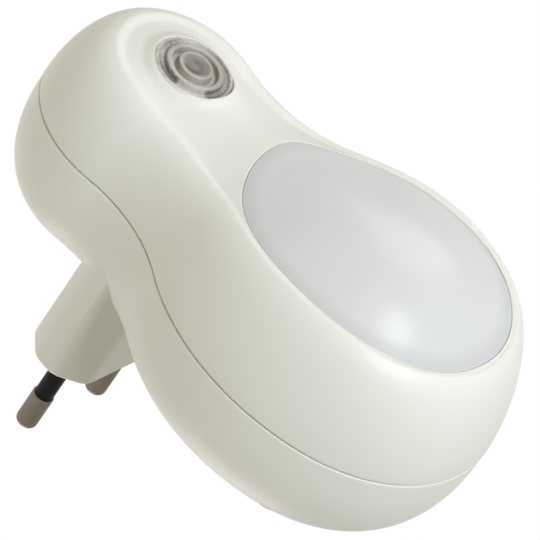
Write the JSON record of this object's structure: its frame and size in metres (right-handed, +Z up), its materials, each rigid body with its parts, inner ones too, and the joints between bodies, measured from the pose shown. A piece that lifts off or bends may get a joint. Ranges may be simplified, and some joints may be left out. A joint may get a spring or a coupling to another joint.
{
  "type": "plug-in night light",
  "caption": "Pear-shaped plug-in night light with a frosted oval light dome, a round dusk sensor window and a flat two-pin plug.",
  "frame": {"origin": "midway between the two pins, on the flat end face of the plug", "axes": "+Y into the wall socket, so the front with the light dome faces -Y; +Z up, with the sensor lobe above the light dome; +X to the right seen from the front"},
  "size_m": [0.0604, 0.0808, 0.1006],
  "materials": {
    "ivory_plastic": "satin moulded ABS",
    "frosted_plastic": "frosted, glossy outside",
    "clear_plastic": "clear moulded, stepped rings",
    "black_plastic": "satin black",
    "sensor_face": "glossy brown-red face",
    "nickel_plated_brass": "nickel plated, drawn",
    "board_green": "solder mask",
    "led_epoxy": "clear epoxy over phosphor",
    "red_epoxy": "dipped epoxy",
    "capacitor_sleeve": "shrunk sleeve",
    "black_epoxy": "moulded epoxy",
    "resistor_green": "flameproof coat",
    "resistor_blue": "lacquer",
    "resistor_beige": "lacquer",
    "wire_brown": "PVC insulation",
    "wire_blue": "PVC insulation",
    "zinc_steel": "zinc plated"
  },
  "bodies": {
    "root": {"front_cover": "ivory_plastic", "back_cover": "ivory_plastic", "lens": "frosted_plastic", "sensor_window": "clear_plastic", "sensor_tube": "black_plastic", "light_sensor": "sensor_face", "pin_left": "nickel_plated_brass", "pin_right": "nickel_plated_brass", "sleeve_left": "black_plastic", "sleeve_right": "black_plastic", "circuit_board": "board_green", "led_1": "led_epoxy", "led_2": "led_epoxy", "led_3": "led_epoxy", "led_4": "led_epoxy", "dropper_capacitor": "red_epoxy", "smoothing_capacitor": "capacitor_sleeve", "bridge_rectifier": "black_epoxy", "transistor": "black_epoxy", "fusible_resistor": "resistor_green", "bleed_resistor": "resistor_blue", "bias_resistor": "resistor_beige", "live_wire": "wire_brown", "neutral_wire": "wire_blue", "cover_screws": "zinc_steel", "board_screws": "zinc_steel"}
  },
  "joints": []
}
